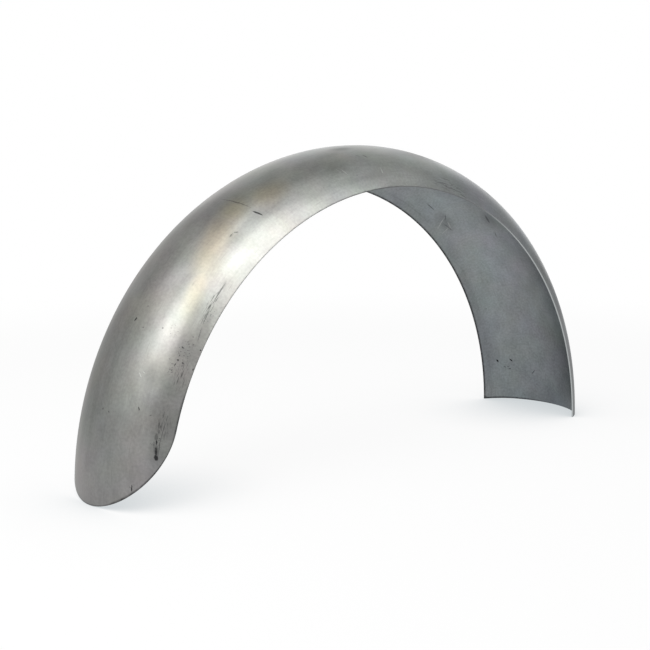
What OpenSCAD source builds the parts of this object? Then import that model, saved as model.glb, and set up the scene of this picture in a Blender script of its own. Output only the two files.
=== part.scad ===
// Rear fender blank for a bobber motorcycle: one piece of steel sheet, formed to a
// double-curved crown, with a rounded tail and a square-cut front end.
// The wheel's axle line runs along Y. The fender stands on Z = 0, its tail towards -X.

/* [Sweep over the wheel] */
// Radius from the wheel's axle line to the top of the crown
fender_r = 348; // [300:1:400]
// Height of the ground the fender stands on, above the axle line
trim_h = 3.6; // [1:0.1:20]

/* [Section across the wheel] */
// Width over the lower edges of the two skirts
fender_w = 152; // [140:1:176]
// Radius of the flatter middle of the crown, seen in section
crown_r = 104; // [90:1:120]
// Radius of the tighter shoulders that turn down into the skirts
shoulder_r = 61; // [50:1:68]
// Angle through which the sheet has turned down where the skirts run out straight
skirt_angle = 61.5; // [55:0.5:70]
// Width of the straight strip along the lower edge of each skirt
lip_w = 9; // [4:0.5:15]
// Thickness of the steel sheet
sheet_t = 1.6; // [1:0.1:3]

/* [Rounded tail] */
// Length of the round end, measured along the crown
tail_len = 92; // [60:1:140]

/* [Hidden] */

steel = [0.58, 0.58, 0.57];
arc_fn = 180;         // smoothness of the section's arcs and of the sweep
past_middle = 1.5;    // each side's crown slice starts this share of its angle back
past_lip = 2;         // the shoulder's slice runs on this angle into the lip
lip_sink = 0.005;     // the lip's faces lie this far inside the tangent, to cross the shoulder's
tail_steps = 48;      // flats round the tail's edge
cut_margin = 4;       // how far a cutting solid reaches past the sheet on each side
cut_angle = 3;        // how far the sweep runs past each end before it is trimmed

// Section: a crown arc in the middle, then on each side a shoulder arc and a straight lip,
// each tangent to the last. The crown arc's half angle is what brings it to its width.
crown_centre = fender_r - crown_r;
arc_gap = crown_r - shoulder_r;
side_reach = shoulder_r * sin(skirt_angle) + lip_w * cos(skirt_angle);
crown_angle = asin((fender_w / 2 - side_reach) / arc_gap);
shoulder_angle = skirt_angle - crown_angle;

// Lengths over the skin in section: to the end of the crown arc, of a shoulder, of it all
crown_half = crown_r * crown_angle * PI / 180;
shoulder_len = shoulder_r * shoulder_angle * PI / 180;
skin_half = crown_half + shoulder_len + lip_w;

// Sweep angles, from +X up over the wheel. The tip of the tail just reaches Z = 0.
tip_angle = 180 - asin(trim_h / (fender_r - sheet_t));
tail_angle = tail_len / fender_r * 180 / PI;
far_angle = tip_angle + 2 * cut_angle;

// A point of the section as [distance from the axle line, sideways]: s is the length over
// the skin from the middle, and lift is how far the point stands off the skin
function section_point(s, lift) =
    let (on_crown = min(abs(s), crown_half))
    let (on_shoulder = max(min(abs(s) - crown_half, shoulder_len), 0))
    let (on_lip = max(abs(s) - crown_half - shoulder_len, 0))
    let (turn = (on_crown / crown_r + on_shoulder / shoulder_r) * 180 / PI)
    let (apart = on_shoulder > 0 ? arc_gap : 0, r = lift + crown_r - apart)
    [crown_centre + apart * cos(crown_angle) + r * cos(turn) - on_lip * sin(turn),
     sign(s) * (apart * sin(crown_angle) + r * sin(turn) + on_lip * cos(turn))];

// The same point swept to an angle over the wheel
function skin_point(s, sweep, lift) =
    let (p = section_point(s, lift))
    [p[0] * cos(sweep), p[1], p[0] * sin(sweep) - trim_h];

// The tail's outline is half an ellipse drawn on the skin: length over the skin, and sweep
function tail_outline(turn) =
    [skin_half * sin(turn), tip_angle - tail_angle * (1 - cos(turn))];

// A slice of a disc about the origin, from one angle to another
module slice(r, from, to) {
    reach = 2 * r;
    intersection() {
        circle(r = r, $fn = arc_fn);
        polygon([[0, 0], [reach * cos(from), reach * sin(from)], [reach * cos(to), reach * sin(to)]]);
    }
}

// One side of the section filled in behind the sheet, about the crown's centre: a slice under
// the crown arc, a slice under the shoulder and a block behind the lip, the block running past
// the lip's edge by overrun. It is drawn turned so that the first two meet on the X axis.
module half_fill(inset, overrun) {
    rotate([0, 0, crown_angle]) {
        slice(crown_r - inset, -past_middle * crown_angle, 0);
        translate([arc_gap, 0]) {
            slice(shoulder_r - inset, 0, shoulder_angle + past_lip);
            rotate([0, 0, shoulder_angle])
                translate([-overrun, 0])
                    square([overrun + shoulder_r - inset - lip_sink, lip_w + overrun]);
        }
    }
}

// Both sides of it
module fill(inset, overrun) {
    half_fill(inset, overrun);
    mirror([0, 1]) half_fill(inset, overrun);
}

// The section of the sheet, X being the distance from the axle line
module section() {
    translate([crown_centre, 0])
        difference() {
            fill(0, 0);
            fill(sheet_t, cut_margin);
        }
}

// The section swept over the wheel, a little past both ends
module swept_sheet() {
    translate([0, 0, -trim_h])
        rotate([90, 0, 0])
            rotate([0, 0, -cut_angle])
                rotate_extrude(angle = tip_angle + 2 * cut_angle, $fn = arc_fn) section();
}

// Everything below the square-cut front end, which is level with the ground
module front_waste() {
    deep = fender_r * sin(cut_angle) + trim_h + cut_margin;
    translate([0, -fender_w, -deep]) cube([fender_r + cut_margin, 2 * fender_w, deep]);
}

// Everything outside the tail's outline, out past both skirts and the end of the sweep. Its
// near wall stands square to the sheet all along the outline, and crosses the skirts' edges
// on the line of the outline's outermost step.
module tail_waste() {
    inner = [for (i = [1 : tail_steps - 1]) tail_outline(-90 + 180 * i / tail_steps)];
    corner = tail_outline(90);
    start = corner + (corner - inner[tail_steps - 2]) / 2;
    clear = skin_half + cut_margin;
    outline = [
        [-clear, start[1]], [-start[0], start[1]],
        each inner,
        start, [clear, start[1]]
    ];
    last = len(outline) - 1;
    points = [for (p = outline) each [
        skin_point(p[0], p[1], cut_margin),
        skin_point(p[0], p[1], -sheet_t - cut_margin),
        skin_point(p[0], far_angle, -sheet_t - cut_margin),
        skin_point(p[0], far_angle, cut_margin)
    ]];
    walls = [for (i = [0 : last - 1], k = [0 : 3])
        let (a = 4 * i + k, b = 4 * i + (k + 1) % 4)
        each [[a, b + 4, b], [a, a + 4, b + 4]]];
    ends = [[0, 1, 2, 3], [for (k = [3 : -1 : 0]) 4 * last + k]];
    polyhedron(points = points, faces = concat(walls, ends));
}

module fender() {
    color(steel)
        difference() {
            swept_sheet();
            front_waste();
            tail_waste();
        }
}

fender();
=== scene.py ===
import math

import bpy
from mathutils import Matrix, Vector, noise


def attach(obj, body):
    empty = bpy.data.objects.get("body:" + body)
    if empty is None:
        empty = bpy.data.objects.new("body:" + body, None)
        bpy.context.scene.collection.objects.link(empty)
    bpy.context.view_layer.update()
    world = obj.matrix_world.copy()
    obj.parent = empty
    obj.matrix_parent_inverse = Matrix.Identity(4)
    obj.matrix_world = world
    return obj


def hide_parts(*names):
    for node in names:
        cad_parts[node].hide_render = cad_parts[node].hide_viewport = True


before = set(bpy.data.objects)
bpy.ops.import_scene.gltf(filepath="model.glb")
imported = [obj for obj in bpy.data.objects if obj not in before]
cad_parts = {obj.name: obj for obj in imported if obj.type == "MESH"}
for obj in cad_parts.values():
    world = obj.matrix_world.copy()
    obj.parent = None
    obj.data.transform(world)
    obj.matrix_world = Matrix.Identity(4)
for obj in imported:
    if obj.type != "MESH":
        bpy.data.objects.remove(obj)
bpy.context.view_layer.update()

# The sheet's sizes, in metres and radians, as in the part's source
FENDER_R = 0.348
TRIM_H = 0.0036
FENDER_W = 0.152
CROWN_R = 0.104
SHOULDER_R = 0.061
SKIRT_ANGLE = math.radians(61.5)
LIP_W = 0.009
SHEET_T = 0.0016
TAIL_LEN = 0.092

ARC_GAP = CROWN_R - SHOULDER_R
SIDE_REACH = SHOULDER_R * math.sin(SKIRT_ANGLE) + LIP_W * math.cos(SKIRT_ANGLE)
CROWN_ANGLE = math.asin((FENDER_W / 2 - SIDE_REACH) / ARC_GAP)
CROWN_HALF = CROWN_R * CROWN_ANGLE
SHOULDER_LEN = SHOULDER_R * (SKIRT_ANGLE - CROWN_ANGLE)
SKIN_HALF = CROWN_HALF + SHOULDER_LEN + LIP_W
TIP_ANGLE = math.pi - math.asin(TRIM_H / (FENDER_R - SHEET_T))

# How finely the sheet is meshed: faces from skirt to skirt and from front to tail, with two
# thin rows at each end, given as shares of the length
COLUMNS = 84
ROWS = 236
END_ROWS = [0.0004, 0.0012]
# The cut edge is rounded off with this radius, in so many steps
EDGE_ROUND = 0.0003
EDGE_STEPS = 3
# Slight waves left by hand finishing: their height, and for each its share of the height,
# its length across and along the sheet, and the slice of noise that it is read from
WAVE_HEIGHT = 0.00012
WAVES = [(1.0, 0.055, 0.13, 3.1), (0.35, 0.028, 0.045, 8.7)]

# The photograph's viewpoint: its place, its own axes back and to the right, and its lens
CAMERA_PLACE = (-0.91994, -1.03470, 0.35383)
CAMERA_BACK = (-0.63903, -0.75409, 0.15161)
CAMERA_RIGHT = (0.76229, -0.64721, -0.00615)
CAMERA_LENS = 67.99
CAMERA_SENSOR = 36.0

# How bright the surround is in metal at its sides and along SURROUND_WAY, which runs from
# behind the camera to behind the fender, and how much light it gives to matt surfaces
SURROUND_WAY = (math.cos(math.radians(50)), math.sin(math.radians(50)), 0)
SIDE_LEVEL = 0.66
END_LEVEL = 0.84
ROOM_LEVEL = 0.35

# Soft round lamps, all facing one place. Each has its name, its azimuth and elevation in
# degrees, its width in metres, its power in watts, and whether it also lights matt surfaces
# or only shows in metal.
LAMP_CENTRE = Vector((-0.2, -0.05, 0.27))
LAMP_DISTANCE = 1.6
LAMPS = [
    ("lamp_left_high", -154, 50, 0.8, 7.4, True),
    ("lamp_left_mid", -156, 33, 0.75, 6.0, True),
    ("lamp_left_low", 180, 30, 0.75, 7.0, True),
    ("lamp_top", 180, 76, 0.75, 4.5, True),
    ("lamp_back_left", 150, 50, 0.75, 3.4, True),
    ("card_right_high", -104, 49, 0.8, 13.4, False),
    ("card_right_mid", -84, 30, 0.75, 8.2, False),
    ("card_right_low", -60, 30, 0.75, 6.7, False),
    ("card_right_far", -33, 44, 0.9, 1.5, False),
    ("card_right_top", -45, 70, 0.7, 1.5, False),
    ("card_left_far", 155, 12, 0.8, 0.9, False),
    ("card_back_low", 126, 27, 0.7, 0.5, False),
    ("card_backdrop", 53, 21, 1.0, 2.4, False),
    ("card_end", 23, 6, 0.7, 1.1, False),
    ("card_end_high", 22, 31, 0.8, 0.9, False),
    ("card_far_low", 78, 9, 0.6, 0.35, False),
]

# The floor: half its width, its paper, and the tint of the painted shadow where the fender stands
# close over it
FLOOR_REACH = 4.0
FLOOR_PAPER = (0.9, 0.9, 0.9, 1)
FLOOR_SHADE = (0.62, 0.66, 0.68, 1)
WHITE = (1, 1, 1, 1)

# Steel: its colour at the tail, then the colours that it turns to from one sweep angle over
# the wheel to another, towards the front end
TAIL_STEEL = (0.2085, 0.2085, 0.202, 1)
STEEL_SHADES = [
    (165, 150, (0.209, 0.209, 0.196, 1)),
    (125, 95, (0.200, 0.209, 0.199, 1)),
    (90, 60, (0.186, 0.197, 0.203, 1)),
]
TAN = (0.226, 0.208, 0.166, 1)
# The lining inside: its cool tint is the steel's own, but its lighter level than the outside and its
# darkening towards the near skirt are painted light and shade
LINING_NEAR_SHADED = (0.205, 0.220, 0.228, 1)
LINING_FAR_LIT = (0.268, 0.286, 0.295, 1)
# The colour of grime, also used for painted shade in creases and along the outline
DIRT_AND_SHADE = (0.02, 0.02, 0.021, 1)
SCRATCHED = (0.50, 0.50, 0.49, 1)
# The cut edge's colours, painted light and shade in place of what it mirrors: painted shade, a
# half-lit grey, and a painted highlight
EDGE_SHADED = (0.075, 0.077, 0.079, 1)
EDGE_HALF_LIT = (0.17, 0.175, 0.178, 1)
EDGE_LIT = (0.42, 0.44, 0.44, 1)
# The tint of what the steel mirrors at a glancing angle
GLANCING_TINT = (0.88, 0.88, 0.88, 1)

# Marks that the steel carries: dark ones, fainter ones and pale scratches; three of the
# fainter ones, along the near lip, are painted shade in its crease. A mark is its
# place over the skin from the middle in mm, its sweep over the wheel in degrees, its half
# length and half width in mm, the way that it lies in degrees from straight across the
# sheet, and 1 for the outer skin or -1 for the inner one.
DARK_MARKS = [
    (-56.3, 121.9, 7.4, 1.3, 15, 1), (-12.3, 148.2, 2.9, 1.2, 69, 1),
    (-76.4, 166.9, 4.0, 0.9, 94, 1), (-74.6, 150.1, 1.7, 1.1, -24, 1),
    (-74.9, 152.4, 1.5, 1.2, -50, 1), (-80.5, 152.6, 1.5, 1.0, -41, 1),
    (-74.0, 153.3, 2.4, 0.7, 86, 1), (-53.1, 162.0, 2.3, 0.9, 113, 1),
    (-78.2, 169.5, 4.4, 2.5, 108, 1), (-77.2, 168.4, 6.4, 1.5, 97, 1),
    (-57.4, 175.1, 4.6, 0.7, 91, 1), (-91.3, 149.3, 1.4, 0.8, 90, 1),
    (-91.6, 153.0, 1.6, 0.8, 91, 1), (71.5, 10.0, 3.2, 1.4, 68, -1),
    (52.9, 9.9, 3.2, 1.1, 43, -1),
]
FAINT_MARKS_AND_CREASE_SHADE = [
    (-25.7, 121.9, 26.0, 0.9, 4, 1), (-24.8, 122.0, 6.5, 0.8, -3, 1),
    (-47.5, 94.1, 4.6, 1.1, 20, 1), (-53.9, 128.4, 3.8, 0.9, 92, 1),
    (-55.7, 127.4, 3.2, 0.8, 47, 1), (-20.1, 145.6, 1.4, 0.9, 13, 1),
    (-27.0, 149.2, 1.3, 0.9, 14, 1), (-48.4, 148.3, 1.2, 1.0, 0, 1),
    (-82.8, 148.9, 1.6, 0.7, 50, 1), (-79.6, 147.7, 1.3, 0.7, -31, 1),
    (-80.2, 153.1, 1.3, 0.6, 55, 1), (-73.6, 154.7, 1.7, 0.7, 41, 1),
    (-72.8, 154.4, 2.2, 0.5, -60, 1), (-67.1, 152.7, 1.0, 0.9, -26, 1),
    (-65.8, 162.6, 1.2, 0.9, 0, 1), (-9.4, 163.5, 1.4, 1.2, 0, 1),
    (-18.9, 163.7, 1.4, 1.0, 0, 1), (-75.5, 164.0, 6.8, 0.6, 99, 1),
    (-78.5, 164.1, 7.4, 0.6, 99, 1), (-80.9, 163.7, 6.5, 0.6, 95, 1),
    (-83.3, 163.7, 5.0, 0.5, 92, 1), (-77.2, 162.2, 2.8, 0.6, 97, 1),
    (-79.6, 166.3, 3.6, 0.6, 98, 1), (-44.7, 95.5, 3.6, 0.8, 32, 1),
    (-82.6, 77.0, 12.0, 1.1, 93, 1), (-86.3, 74.1, 14.0, 0.9, 89, 1),
    (-90.0, 71.2, 8.7, 0.9, 81, 1), (-75.6, 75.8, 10.8, 0.7, 90, 1),
    # both marks here are painted shade in the near lip's crease
    (-80.4, 138.2, 17.0, 0.9, 91, 1), (-81.7, 143.4, 13.5, 0.9, 94, 1),
    (57.9, 8.4, 1.9, 1.0, 43, -1), (11.5, 47.3, 11.0, 2.2, 98, -1),
    (65.9, 55.8, 11.5, 0.8, 90, -1), (67.7, 48.4, 14.6, 0.8, 80, -1),
    (21.7, 7.2, 5.1, 1.0, -49, -1), (-75.4, 166.0, 6.0, 2.6, 96, 1),
    (-77.6, 168.4, 9.5, 3.8, 102, 1), (-76.8, 165.0, 5.0, 0.9, 100, 1),
    (-74.4, 167.4, 6.0, 0.8, 95, 1), (-79.6, 167.4, 6.5, 0.9, 98, 1),
    (74.0, 30.0, 9.0, 0.6, 84, 1), (58.0, 95.0, 12.0, 0.6, 70, 1),
    (44.0, 140.0, 8.0, 0.7, 20, 1), (70.0, 160.0, 7.0, 0.6, 95, 1),
    (-30.0, 60.0, 9.0, 0.5, 60, 1), (15.0, 42.4, 5.5, 0.8, 100, -1),
    (62.0, 8.3, 2.6, 1.0, 30, -1), (55.5, 7.8, 2.2, 1.5, 10, -1),
    # the last mark here is painted shade in the near lip's crease
    (62.0, 51.0, 8.0, 0.9, -60, -1), (-84.1, 146.8, 11.0, 0.7, 98, 1),
]
PALE_MARKS = [
    (-64.5, 101.6, 7.0, 0.6, 14, 1), (-61.0, 102.6, 5.0, 0.4, 16, 1),
    (-72.1, 93.1, 6.0, 0.6, -6, 1), (-44.5, 156.7, 4.2, 0.5, 135, 1),
    (-47.1, 156.1, 2.6, 0.4, 154, 1), (20.0, 75.0, 9.0, 0.6, 35, 1),
    (50.0, 120.0, 8.0, 0.5, 70, 1), (72.4, 50.3, 14.0, 1.0, -29, -1),
    (64.6, 48.6, 9.0, 0.9, -79, -1), (72.8, 47.9, 9.0, 0.8, -11, -1),
]
# Ovals given the same way: where the sheet is pitted, where it has been rubbed along its
# length, and soft stains, tan ones left by heat and oil, and dull ones left by hands
PITTED = [
    (-78, 150.5, 9, 15, 0, 1), (-73, 154, 7, 9, 0, 1), (-76, 167, 7, 10, 0, 1),
    (-84, 143, 6, 14, 0, 1), (-60, 148, 6, 9, 0, 1),
]
RUBBED = [
    (-80, 163.5, 12, 26, 0, 1), (-83, 155, 9, 26, 0, 1),
    (-80, 141, 5, 40, 0, 1), (-84, 75, 9, 44, 0, 1),
]
TAN_STAINS = [
    (-44, 131, 84, 25, 108, 1), (-60, 140, 48, 15, 100, 1), (-33, 124, 36, 24, 108, 1),
    (-45, 117, 36, 24, 88, 1), (64, 118, 22, 48, 0, 1), (30, 38, 26, 40, 0, 1),
]
DULL_STAINS = [
    (-80, 163.5, 22, 34, 0, 1), (-76, 168, 9, 14, 0, 1), (-82, 157, 16, 26, 0, 1),
    (-20, 96, 12, 22, 0, 1), (-56, 156, 16, 24, 0, 1), (-52, 60, 12, 20, 0, 1),
    (-80, 97, 13, 60, 0, 1), (-85, 145, 5, 30, 0, 1), (66, 50, 14, 30, 0, -1),
    (10, 47, 16, 20, 0, -1), (-80, 169, 16, 16, 0, 1), (80, 110, 14, 30, 0, 1),
    (20, 28, 24, 36, 0, 1), (60, 150, 20, 30, 0, 1),
]
# How far the outlines of marks are shaken, and how fine the shaking is, in features a metre
RAGGED = 0.0018
RAGGED_SCALE = 900


def section(s, lift):
    """Distance from the axle line and sideways place of a point of the section."""
    on_crown = min(abs(s), CROWN_HALF)
    on_shoulder = max(min(abs(s) - CROWN_HALF, SHOULDER_LEN), 0)
    on_lip = max(abs(s) - CROWN_HALF - SHOULDER_LEN, 0)
    turn = on_crown / CROWN_R + on_shoulder / SHOULDER_R
    apart = ARC_GAP if on_shoulder > 0 else 0
    r = lift + CROWN_R - apart
    out = FENDER_R - CROWN_R + apart * math.cos(CROWN_ANGLE)
    out += r * math.cos(turn) - on_lip * math.sin(turn)
    side = apart * math.sin(CROWN_ANGLE) + r * math.sin(turn) + on_lip * math.cos(turn)
    return out, math.copysign(side, s)


def wave(s, along):
    """How far hand finishing has left the skin proud at a place, in metres."""
    return WAVE_HEIGHT * sum(
        share * noise.noise(Vector((s / across_len, along / along_len, at)))
        for share, across_len, along_len, at in WAVES)


def skin_point(turn, v, inset, lift):
    """A point of the sheet: turn runs from skirt to skirt, and v from front to tail.

    inset draws the outline in from the real one, and lift is the height over the skin. It
    gives the point's place, then its place on the skin as lengths across and along it with
    1 for the outer face and -1 for the inner one, and how far it lies from the outline.
    """
    s = (SKIN_HALF - inset) * math.sin(turn)
    reach = section(s, lift)[0]
    front = math.asin((TRIM_H + inset) / reach)
    tail_start = TIP_ANGLE - TAIL_LEN / FENDER_R
    end = tail_start + (TAIL_LEN - inset) / FENDER_R * math.cos(turn)
    sweep = front + v * (end - front)
    out, side = section(s, lift + wave(s, sweep * FENDER_R))
    place = (out * math.cos(sweep), side, out * math.sin(sweep) - TRIM_H)
    rim = min(SKIN_HALF - abs(s), (sweep - front) * reach, (end - sweep) * reach)
    return place, (s, sweep * FENDER_R, 1 + 2 * lift / SHEET_T), max(rim, 0.0)


def build_sheet():
    """The sheet as one closed mesh: an outer skin, an inner skin and a rounded cut edge."""
    turns = [math.pi * (i / COLUMNS - 0.5) for i in range(COLUMNS + 1)]
    rows = [0.0, *END_ROWS, *[j / ROWS for j in range(1, ROWS)]]
    rows += [*[1 - share for share in END_ROWS[::-1]], 1.0]
    places, skins, rims, faces = [], [], [], []

    def add(turn, v, inset, lift):
        place, skin, rim = skin_point(turn, v, inset, lift)
        places.append(place)
        skins.append(skin)
        rims.append(rim)
        return len(places) - 1

    outer = [[add(t, v, EDGE_ROUND, 0.0) for t in turns] for v in rows]
    inner = [[add(t, v, EDGE_ROUND, -SHEET_T) for t in turns] for v in rows]
    last = len(rows) - 1
    for j in range(last):
        for i in range(COLUMNS):
            a, b = outer[j], outer[j + 1]
            faces.append((a[i], b[i], b[i + 1], a[i + 1]))
            a, b = inner[j], inner[j + 1]
            faces.append((a[i], a[i + 1], b[i + 1], b[i]))

    # Once round the outline, by column and row
    loop = [(i, 0) for i in range(COLUMNS)]
    loop += [(COLUMNS, j) for j in range(last)]
    loop += [(i, last) for i in range(COLUMNS, 0, -1)]
    loop += [(0, j) for j in range(last, 0, -1)]
    # The edge's profile from the outer skin round to the inner one, as inset and lift
    bends = [math.pi / 2 * k / EDGE_STEPS for k in range(1, EDGE_STEPS + 1)]
    profile = [(EDGE_ROUND * (1 - math.sin(b)), -EDGE_ROUND * (1 - math.cos(b))) for b in bends]
    profile += [(0.0, -SHEET_T / 2)]
    profile += [(inset, -SHEET_T - lift) for inset, lift in profile[-2::-1]]
    rings = [[outer[j][i] for i, j in loop]]
    for inset, lift in profile:
        rings.append([add(turns[i], rows[j], inset, lift) for i, j in loop])
    rings.append([inner[j][i] for i, j in loop])
    for upper, lower in zip(rings, rings[1:]):
        for k in range(len(loop)):
            n = (k + 1) % len(loop)
            faces.append((upper[k], upper[n], lower[n], lower[k]))

    mesh = bpy.data.meshes.new("fender_sheet")
    mesh.from_pydata(places, [], faces)
    mesh.attributes.new("skin", "FLOAT_VECTOR", "POINT").data.foreach_set(
        "vector", [c for skin in skins for c in skin])
    mesh.attributes.new("rim", "FLOAT", "POINT").data.foreach_set("value", rims)
    mesh.shade_smooth()
    mesh.update()
    piece = bpy.data.objects.new("fender_sheet", mesh)
    bpy.context.scene.collection.objects.link(piece)
    return piece


def place_camera():
    """The camera at the photograph's viewpoint."""
    camera = bpy.data.objects.new("camera", bpy.data.cameras.new("camera"))
    bpy.context.scene.collection.objects.link(camera)
    back = Vector(CAMERA_BACK).normalized()
    right = Vector(CAMERA_RIGHT)
    right = (right - right.project(back)).normalized()
    up = back.cross(right)
    turned = Matrix((right, up, back)).transposed().to_4x4()
    camera.matrix_world = Matrix.Translation(CAMERA_PLACE) @ turned
    camera.data.sensor_width = CAMERA_SENSOR
    camera.data.lens = CAMERA_LENS
    bpy.context.scene.camera = camera


class Graph:
    """A node tree, with short calls that add nodes and give back their output."""

    def __init__(self, tree):
        self.tree = tree

    def add(self, kind, inputs, **settings):
        """Add a node, set or join its inputs by name or number, and give it back."""
        node = self.tree.nodes.new("ShaderNode" + kind)
        for name, value in settings.items():
            setattr(node, name, value)
        for key, value in inputs.items():
            socket = node.inputs[key]
            if isinstance(value, bpy.types.NodeSocket):
                self.tree.links.new(value, socket)
            else:
                socket.default_value = value
        return node

    def math(self, operation, first, *others):
        """The operation on one value, or on several values one after the other."""
        if not others:
            return self.add("Math", {0: first}, operation=operation).outputs[0]
        for other in others:
            first = self.add("Math", {0: first, 1: other}, operation=operation).outputs[0]
        return first

    def vector(self, operation, a, b):
        return self.add("VectorMath", {0: a, 1: b}, operation=operation).outputs[0]

    def noise(self, place, scale, detail=2.0, stretch=(1, 1, 1)):
        """Noise from 0 to 1, with scale in features a metre along each axis times stretch."""
        at = self.vector("MULTIPLY", place, stretch)
        return self.add("TexNoise", {"Vector": at, "Scale": scale, "Detail": detail}).outputs[0]

    def colour_noise(self, place, scale):
        """Noise of its own from 0 to 1 in each of three channels."""
        return self.add("TexNoise", {"Vector": place, "Scale": scale, "Detail": 2.0}).outputs[1]

    def cells(self, place, scale):
        """How far a place is from the middle of its cell, and a number that the cell drew."""
        cell = self.add("TexVoronoi", {"Vector": place, "Scale": scale})
        return cell.outputs[0], self.add("SeparateXYZ", {0: cell.outputs[1]}).outputs[0]

    def ramp(self, value, start, end, low=0.0, high=1.0):
        """low up to start, high from end on, and smooth between them."""
        inputs = {"Value": value, 1: start, 2: end, 3: low, 4: high}
        node = self.add("MapRange", inputs, interpolation_type="SMOOTHSTEP")
        return node.outputs[0]

    def mix(self, share, a, b):
        inputs = {"Factor": share, 6: a, 7: b}
        return self.add("Mix", inputs, data_type="RGBA").outputs[2]

    def spots(self, place, marks):
        """The strongest of a list of soft oval marks at a place, from 0 to 1."""
        ovals = []
        for s, sweep, long, wide, lie, side in marks:
            inputs = {
                "Vector": place,
                "Location": (s / 1000, math.radians(sweep) * FENDER_R, side),
                "Rotation": (0, 0, math.radians(lie)),
                "Scale": (long / 1000, wide / 1000, 0.5),
            }
            local = self.add("Mapping", inputs, vector_type="TEXTURE").outputs[0]
            oval = self.add("TexGradient", {0: local}, gradient_type="SPHERICAL")
            ovals.append(oval.outputs[1])
        return self.math("MAXIMUM", 0.0, *ovals)


class Steel:
    """What the material is worked out from: a point's place on the sheet, and noises there."""

    def __init__(self, graph):
        self.skin = graph.add("Attribute", {}, attribute_name="skin").outputs["Vector"]
        self.rim = graph.add("Attribute", {}, attribute_name="rim").outputs["Fac"]
        self.across, along, side = graph.add("SeparateXYZ", {0: self.skin}).outputs
        self.sweep = graph.math("MULTIPLY", along, math.degrees(1 / FENDER_R))
        self.inside = graph.ramp(side, -0.9, 0.9, 1.0, 0.0)
        self.cut = graph.math("LESS_THAN", graph.math("ABSOLUTE", side), 0.97)

        self.blotch = graph.noise(self.skin, 14, 3.0)
        self.cloud = graph.noise(self.skin, 55, 4.0, (1, 0.6, 1))
        self.mottle = graph.noise(self.skin, 330, 3.0)
        self.grain = graph.noise(self.skin, 1500, 2.0, (1, 0.035, 1))
        self.pores = graph.noise(self.skin, 1900, 2.0)
        self.track = graph.noise(self.skin, 95, 2.0, (1, 0.07, 1))

        shake = graph.vector("SUBTRACT", graph.colour_noise(self.skin, RAGGED_SCALE), (0.5, 0.5, 0.5))
        shake = graph.vector("MULTIPLY", shake, (RAGGED, RAGGED, 0))
        self.ragged = graph.vector("ADD", self.skin, shake)


def specks(graph, steel):
    """Fine specks anywhere on the sheet, and pits close together where it is pitted."""
    near, drawn = graph.cells(steel.skin, 110)
    speck = graph.ramp(near, 0.03, 0.09, 0.5, 0.0)
    speck = graph.math("MULTIPLY", speck, graph.math("GREATER_THAN", drawn, 0.88))
    near, drawn = graph.cells(steel.ragged, 500)
    pit = graph.ramp(near, 0.08, 0.38, 0.9, 0.0)
    pitted = graph.ramp(graph.spots(steel.ragged, PITTED), 0.0, 0.45)
    pit = graph.math("MULTIPLY", pit, graph.math("GREATER_THAN", drawn, 0.35), pitted)
    return graph.math("MAXIMUM", speck, pit)


def scratches(graph, steel):
    """Fine lines along the sheet: thin ones anywhere, and thick ones where it is rubbed."""
    streak = graph.noise(steel.skin, 900, 1.0, (1, 0.045, 1))
    streak = graph.math("MULTIPLY", graph.ramp(streak, 0.66, 0.78), 0.18)
    rub = graph.noise(steel.skin, 1000, 2.0, (1, 0.09, 1))
    rub = graph.ramp(rub, 0.46, 0.64, 0.0, 0.7)
    rubbed = graph.ramp(graph.spots(steel.ragged, RUBBED), 0.0, 0.8)
    return graph.math("MAXIMUM", streak, graph.math("MULTIPLY", rub, rubbed))


def lip_crease_shade(graph, steel):
    """Painted shade: a faint broken dark line in the crease where each shoulder runs out into its
    straight lip.
    """
    wander = graph.math("MULTIPLY", graph.noise(steel.skin, 30, 1.0, (0, 1, 1)), 0.003)
    off = graph.math("ADD", graph.math("ABSOLUTE", steel.across), wander)
    off = graph.math("ABSOLUTE", graph.math("SUBTRACT", off, SKIN_HALF - LIP_W))
    broken = graph.ramp(graph.noise(steel.skin, 18, 3.0, (0.2, 1, 1)), 0.45, 0.6)
    return graph.math("MULTIPLY", graph.ramp(off, 0.0, 0.0014, 0.12, 0.0), broken)


def edge_shade_and_burrs(graph, steel):
    """Dark borders along the outline, wide inside and round the tail's near side: partly painted
    shade of the cut edge and the inside near it, partly grime on burred metal.

    They are nearly gone from the near skirt towards the front end, where the edge is lit.
    """
    tail_side = graph.math(
        "MULTIPLY", graph.ramp(steel.sweep, 152, 162), graph.ramp(steel.across, -0.02, -0.05))
    wide = graph.math("MULTIPLY", steel.inside, graph.ramp(steel.across, 0.0, 0.07, 0.3, 1.0))
    wide = graph.math("MAXIMUM", wide, tail_side)
    # where the near edge is lit, the painted shade is taken off
    lit_near_edge = graph.math(
        "MULTIPLY", graph.ramp(steel.sweep, 98, 82), graph.ramp(steel.across, 0.02, -0.02))
    return graph.math(
        "MULTIPLY",
        graph.ramp(steel.rim, 0.0004, graph.ramp(wide, 0.0, 1.0, 0.0015, 0.0032), 1.0, 0.0),
        graph.ramp(wide, 0.0, 1.0, 0.4, 0.9),
        graph.ramp(graph.noise(steel.skin, 120, 3.0), 0.3, 0.6, 0.6, 1.0),
        graph.ramp(lit_near_edge, 0.0, 1.0, 1.0, 0.2))


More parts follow.
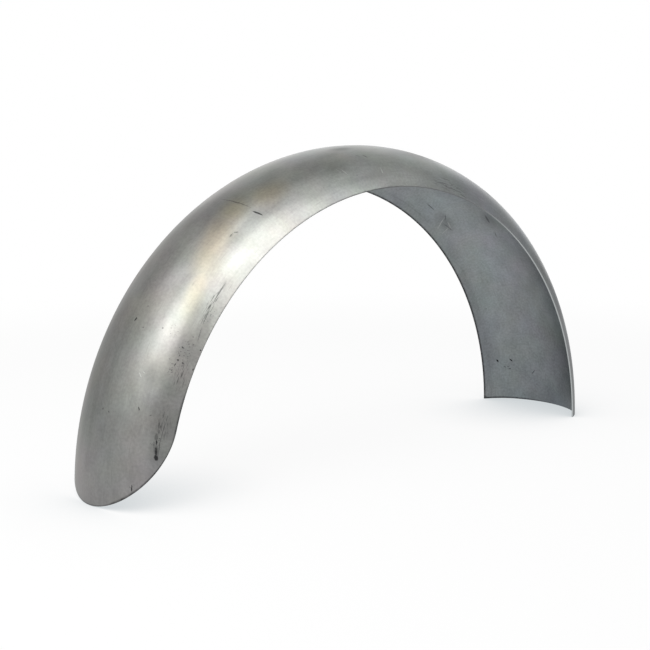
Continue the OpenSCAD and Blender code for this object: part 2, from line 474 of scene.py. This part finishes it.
def dirt_and_painted_shade(graph, steel):
    """The share of marks, stains, specks and scratches, and of painted shade along the lip crease and
    the outline, at each place.
    """
    dull = graph.ramp(graph.spots(steel.skin, DULL_STAINS), 0.0, 0.9, 0.0, 0.3)
    return graph.math(
        "MAXIMUM",
        graph.ramp(graph.spots(steel.ragged, DARK_MARKS), 0.0, 0.5, 0.0, 0.95),
        graph.ramp(graph.spots(steel.ragged, FAINT_MARKS_AND_CREASE_SHADE), 0.0, 0.6, 0.0, 0.55),
        graph.math("MULTIPLY", dull, graph.ramp(steel.cloud, 0.35, 0.6, 0.4, 1.0)),
        specks(graph, steel),
        scratches(graph, steel),
        lip_crease_shade(graph, steel),
        edge_shade_and_burrs(graph, steel))


def clean_colour(graph, steel):
    """Steel without its marks: a warm grey, tan in places, and cooler inside and in front; the lining
    is also lighter, and darker towards the near skirt, as painted light and shade.
    """
    colour = TAIL_STEEL
    for start, end, shade in STEEL_SHADES:
        colour = graph.mix(graph.ramp(steel.sweep, start, end), colour, shade)
    tan = graph.ramp(graph.spots(steel.skin, TAN_STAINS), 0.0, 0.9)
    tan = graph.math("MULTIPLY", tan, graph.ramp(steel.cloud, 0.3, 0.6, 0.85, 1.0))
    colour = graph.mix(tan, colour, TAN)
    # painted light and shade: the lining grows lighter from the near skirt to the far one
    lining = graph.mix(graph.ramp(steel.across, -0.07, 0.09), LINING_NEAR_SHADED, LINING_FAR_LIT)
    colour = graph.mix(steel.inside, colour, lining)
    hue = graph.vector("MULTIPLY", graph.colour_noise(steel.skin, 22), (0.14, 0.14, 0.14))
    hue = graph.vector("ADD", hue, (0.93, 0.93, 0.93))
    return graph.vector("MULTIPLY", colour, hue)


def tone_and_painted_light(graph, steel):
    """What the steel's own colour is multiplied by, near 1: lighter in the middle of the tail's tip,
    painted shade over broad areas on the near side and towards the front end, and random changes of
    grey and the fine textures.
    """
    middle = graph.ramp(graph.math("ABSOLUTE", steel.across), 0.066, 0.08, 1.0, 0.2)
    outside = graph.ramp(steel.inside, 0.0, 1.0, 1.0, 0.0)
    fine_share = graph.ramp(steel.inside, 0.0, 1.0, 0.7, 0.85)
    near_top = graph.math(
        "MULTIPLY", graph.ramp(steel.across, -0.01, -0.03), graph.ramp(steel.sweep, 84, 97))
    return graph.math(
        "ADD",
        graph.ramp(steel.blotch, 0.3, 0.7, 0.95, 1.05),
        # lighter in the middle of the tail's tip
        graph.math("MULTIPLY", graph.ramp(steel.sweep, 163, 174, 0.0, 0.2), middle),
        # painted shade: darker on the near side around the top of the arch
        graph.math("MULTIPLY", near_top, graph.ramp(steel.sweep, 117, 105, 0.0, -0.08)),
        # painted shade: darker towards the front end
        graph.ramp(steel.sweep, 35, 10, 0.0, -0.14),
        # painted shade along the near skirt towards the front end, dimming its glancing reflection
        graph.math(
            "MULTIPLY", graph.ramp(steel.sweep, 55, 40),
            graph.ramp(steel.across, -0.06, -0.08, 0.0, -0.2)),
        graph.ramp(steel.cloud, 0.3, 0.7, -0.07, 0.07),
        graph.math("MULTIPLY", graph.ramp(steel.track, 0.3, 0.7, -0.04, 0.04), outside),
        graph.math("MULTIPLY", graph.ramp(steel.mottle, 0.25, 0.75, -0.12, 0.12), fine_share),
        graph.math("MULTIPLY", graph.ramp(steel.grain, 0.2, 0.8, -0.07, 0.07), fine_share))


def edge_colour(graph, steel):
    """The cut edge: painted shade, turning to a painted highlight on the near skirt towards the front
    end.
    """
    near = graph.math("LESS_THAN", steel.across, 0.07)
    edge_half_lit = graph.math("MULTIPLY", graph.ramp(steel.sweep, 104, 84), near)
    edge_lit = graph.math("MULTIPLY", graph.ramp(steel.sweep, 72, 48), near)
    return graph.mix(edge_lit, graph.mix(edge_half_lit, EDGE_SHADED, EDGE_HALF_LIT), EDGE_LIT)


def raw_steel():
    """Bare rolled sheet: dull grey metal with stains, a rolling grain, scuffs and cut edges, and
    painted light and shade on its cut edge, along its outline, in its lining and over broad areas.
    """
    material = bpy.data.materials.new("raw_steel")
    material.use_nodes = True
    graph = Graph(material.node_tree)
    links = material.node_tree.links
    shader = material.node_tree.nodes["Principled BSDF"]
    shader.inputs["Metallic"].default_value = 1
    shader.inputs["Specular Tint"].default_value = GLANCING_TINT

    steel = Steel(graph)
    dirt_and_shade = dirt_and_painted_shade(graph, steel)
    scratched = graph.ramp(graph.spots(steel.ragged, PALE_MARKS), 0.0, 0.7, 0.0, 0.4)
    toned = {0: clean_colour(graph, steel), "Scale": tone_and_painted_light(graph, steel)}
    colour = graph.add("VectorMath", toned, operation="SCALE").outputs[0]
    # grime and painted shade darken the colour here
    colour = graph.mix(dirt_and_shade, colour, DIRT_AND_SHADE)
    colour = graph.mix(scratched, colour, SCRATCHED)
    # the cut edge takes its painted light and shade
    colour = graph.mix(steel.cut, colour, edge_colour(graph, steel))
    links.new(colour, shader.inputs["Base Color"])

    rough = graph.ramp(steel.blotch, 0.25, 0.75, 0.28, 0.34)
    for more, share in (
        (steel.grain, 0.08), (steel.mottle, 0.08), (steel.inside, 0.06), (dirt_and_shade, 0.25),
    ):
        rough = graph.math("ADD", rough, graph.math("MULTIPLY", more, share))
    links.new(rough, shader.inputs["Roughness"])

    height = graph.math("MULTIPLY", steel.grain, 0.35)
    for more, share in ((steel.pores, 0.3), (steel.mottle, 0.8), (dirt_and_shade, -1.5)):
        height = graph.math("ADD", height, graph.math("MULTIPLY", more, share))
    bump = graph.add("Bump", {"Height": height, "Strength": 0.3, "Distance": 0.0001})
    links.new(bump.outputs[0], shader.inputs["Normal"])
    return material


def shown(graph):
    """1 for the rays that show a surface as it looks, and 0 for those that only carry light."""
    path = graph.add("LightPath", {})
    return graph.math(
        "MAXIMUM", path.outputs["Is Camera Ray"], path.outputs["Is Glossy Ray"],
        path.outputs["Is Transmission Ray"])


def surround(graph):
    """White where it is seen directly, less where metal shows it, and less again as light."""
    direct = graph.add("LightPath", {}).outputs["Is Camera Ray"]
    way = graph.add("TexCoord", {}).outputs["Generated"]
    facing = graph.add("VectorMath", {0: way, 1: SURROUND_WAY}, operation="DOT_PRODUCT")
    facing = graph.math("ABSOLUTE", facing.outputs["Value"])
    level = graph.ramp(facing, 0.35, 0.9, SIDE_LEVEL, END_LEVEL)
    level = graph.math("MAXIMUM", level, direct)
    return graph.ramp(shown(graph), 0.0, 1.0, ROOM_LEVEL, level)


def build_floor():
    """A white floor with a soft shadow close under the fender and round it, mostly painted into its
    glow from how closed in each place is.
    """
    mesh = bpy.data.meshes.new("floor")
    signs = [(-1, -1), (1, -1), (1, 1), (-1, 1)]
    mesh.from_pydata([(x * FLOOR_REACH, y * FLOOR_REACH, 0) for x, y in signs], [], [(0, 1, 2, 3)])
    floor = bpy.data.objects.new("floor", mesh)
    bpy.context.scene.collection.objects.link(floor)
    paper = bpy.data.materials.new("floor_white")
    paper.use_nodes = True
    graph = Graph(paper.node_tree)
    spot = graph.add("TexCoord", {}).outputs["Object"]
    far = graph.add("VectorMath", {0: spot}, operation="LENGTH").outputs["Value"]
    glow = graph.math("MULTIPLY", shown(graph), graph.ramp(far, 0.7, 1.5, 0.93, 1.0))
    # painted shadow: the glow is tinted darker where the fender closes over the floor
    open_sky = graph.add("AmbientOcclusion", {"Distance": 0.2}).outputs["AO"]
    tint = graph.mix(graph.ramp(open_sky, 0.15, 1.0), FLOOR_SHADE, WHITE)
    matt = graph.add("BsdfDiffuse", {"Color": FLOOR_PAPER}).outputs[0]
    white = graph.add("Emission", {"Color": tint, "Strength": 1.0}).outputs[0]
    both = graph.add("MixShader", {0: glow, 1: matt, 2: white}).outputs[0]
    paper.node_tree.links.new(both, paper.node_tree.nodes["Material Output"].inputs[0])
    mesh.materials.append(paper)


def build_lights():
    """The white surround and the soft lamps."""
    world = bpy.data.worlds.new("studio")
    bpy.context.scene.world = world
    world.use_nodes = True
    background = world.node_tree.nodes["Background"]
    background.inputs["Color"].default_value = WHITE
    level = surround(Graph(world.node_tree))
    world.node_tree.links.new(level, background.inputs["Strength"])

    for name, azimuth, elevation, width, power, lights_matt in LAMPS:
        lamp = bpy.data.lights.new(name, "AREA")
        lamp.shape = "DISK"
        lamp.size = width
        lamp.energy = power
        holder = bpy.data.objects.new(name, lamp)
        bpy.context.scene.collection.objects.link(holder)
        a, e = math.radians(azimuth), math.radians(elevation)
        ray = Vector((math.cos(a) * math.cos(e), math.sin(a) * math.cos(e), math.sin(e)))
        holder.location = LAMP_CENTRE + LAMP_DISTANCE * ray
        holder.rotation_euler = ray.to_track_quat("Z", "Y").to_euler()
        holder.visible_diffuse = lights_matt
        holder.visible_camera = False


piece = build_sheet()
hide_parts("fender")
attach(piece, "root")
piece.data.materials.append(raw_steel())
place_camera()
build_floor()
build_lights()
bpy.context.scene.view_settings.view_transform = "Standard"
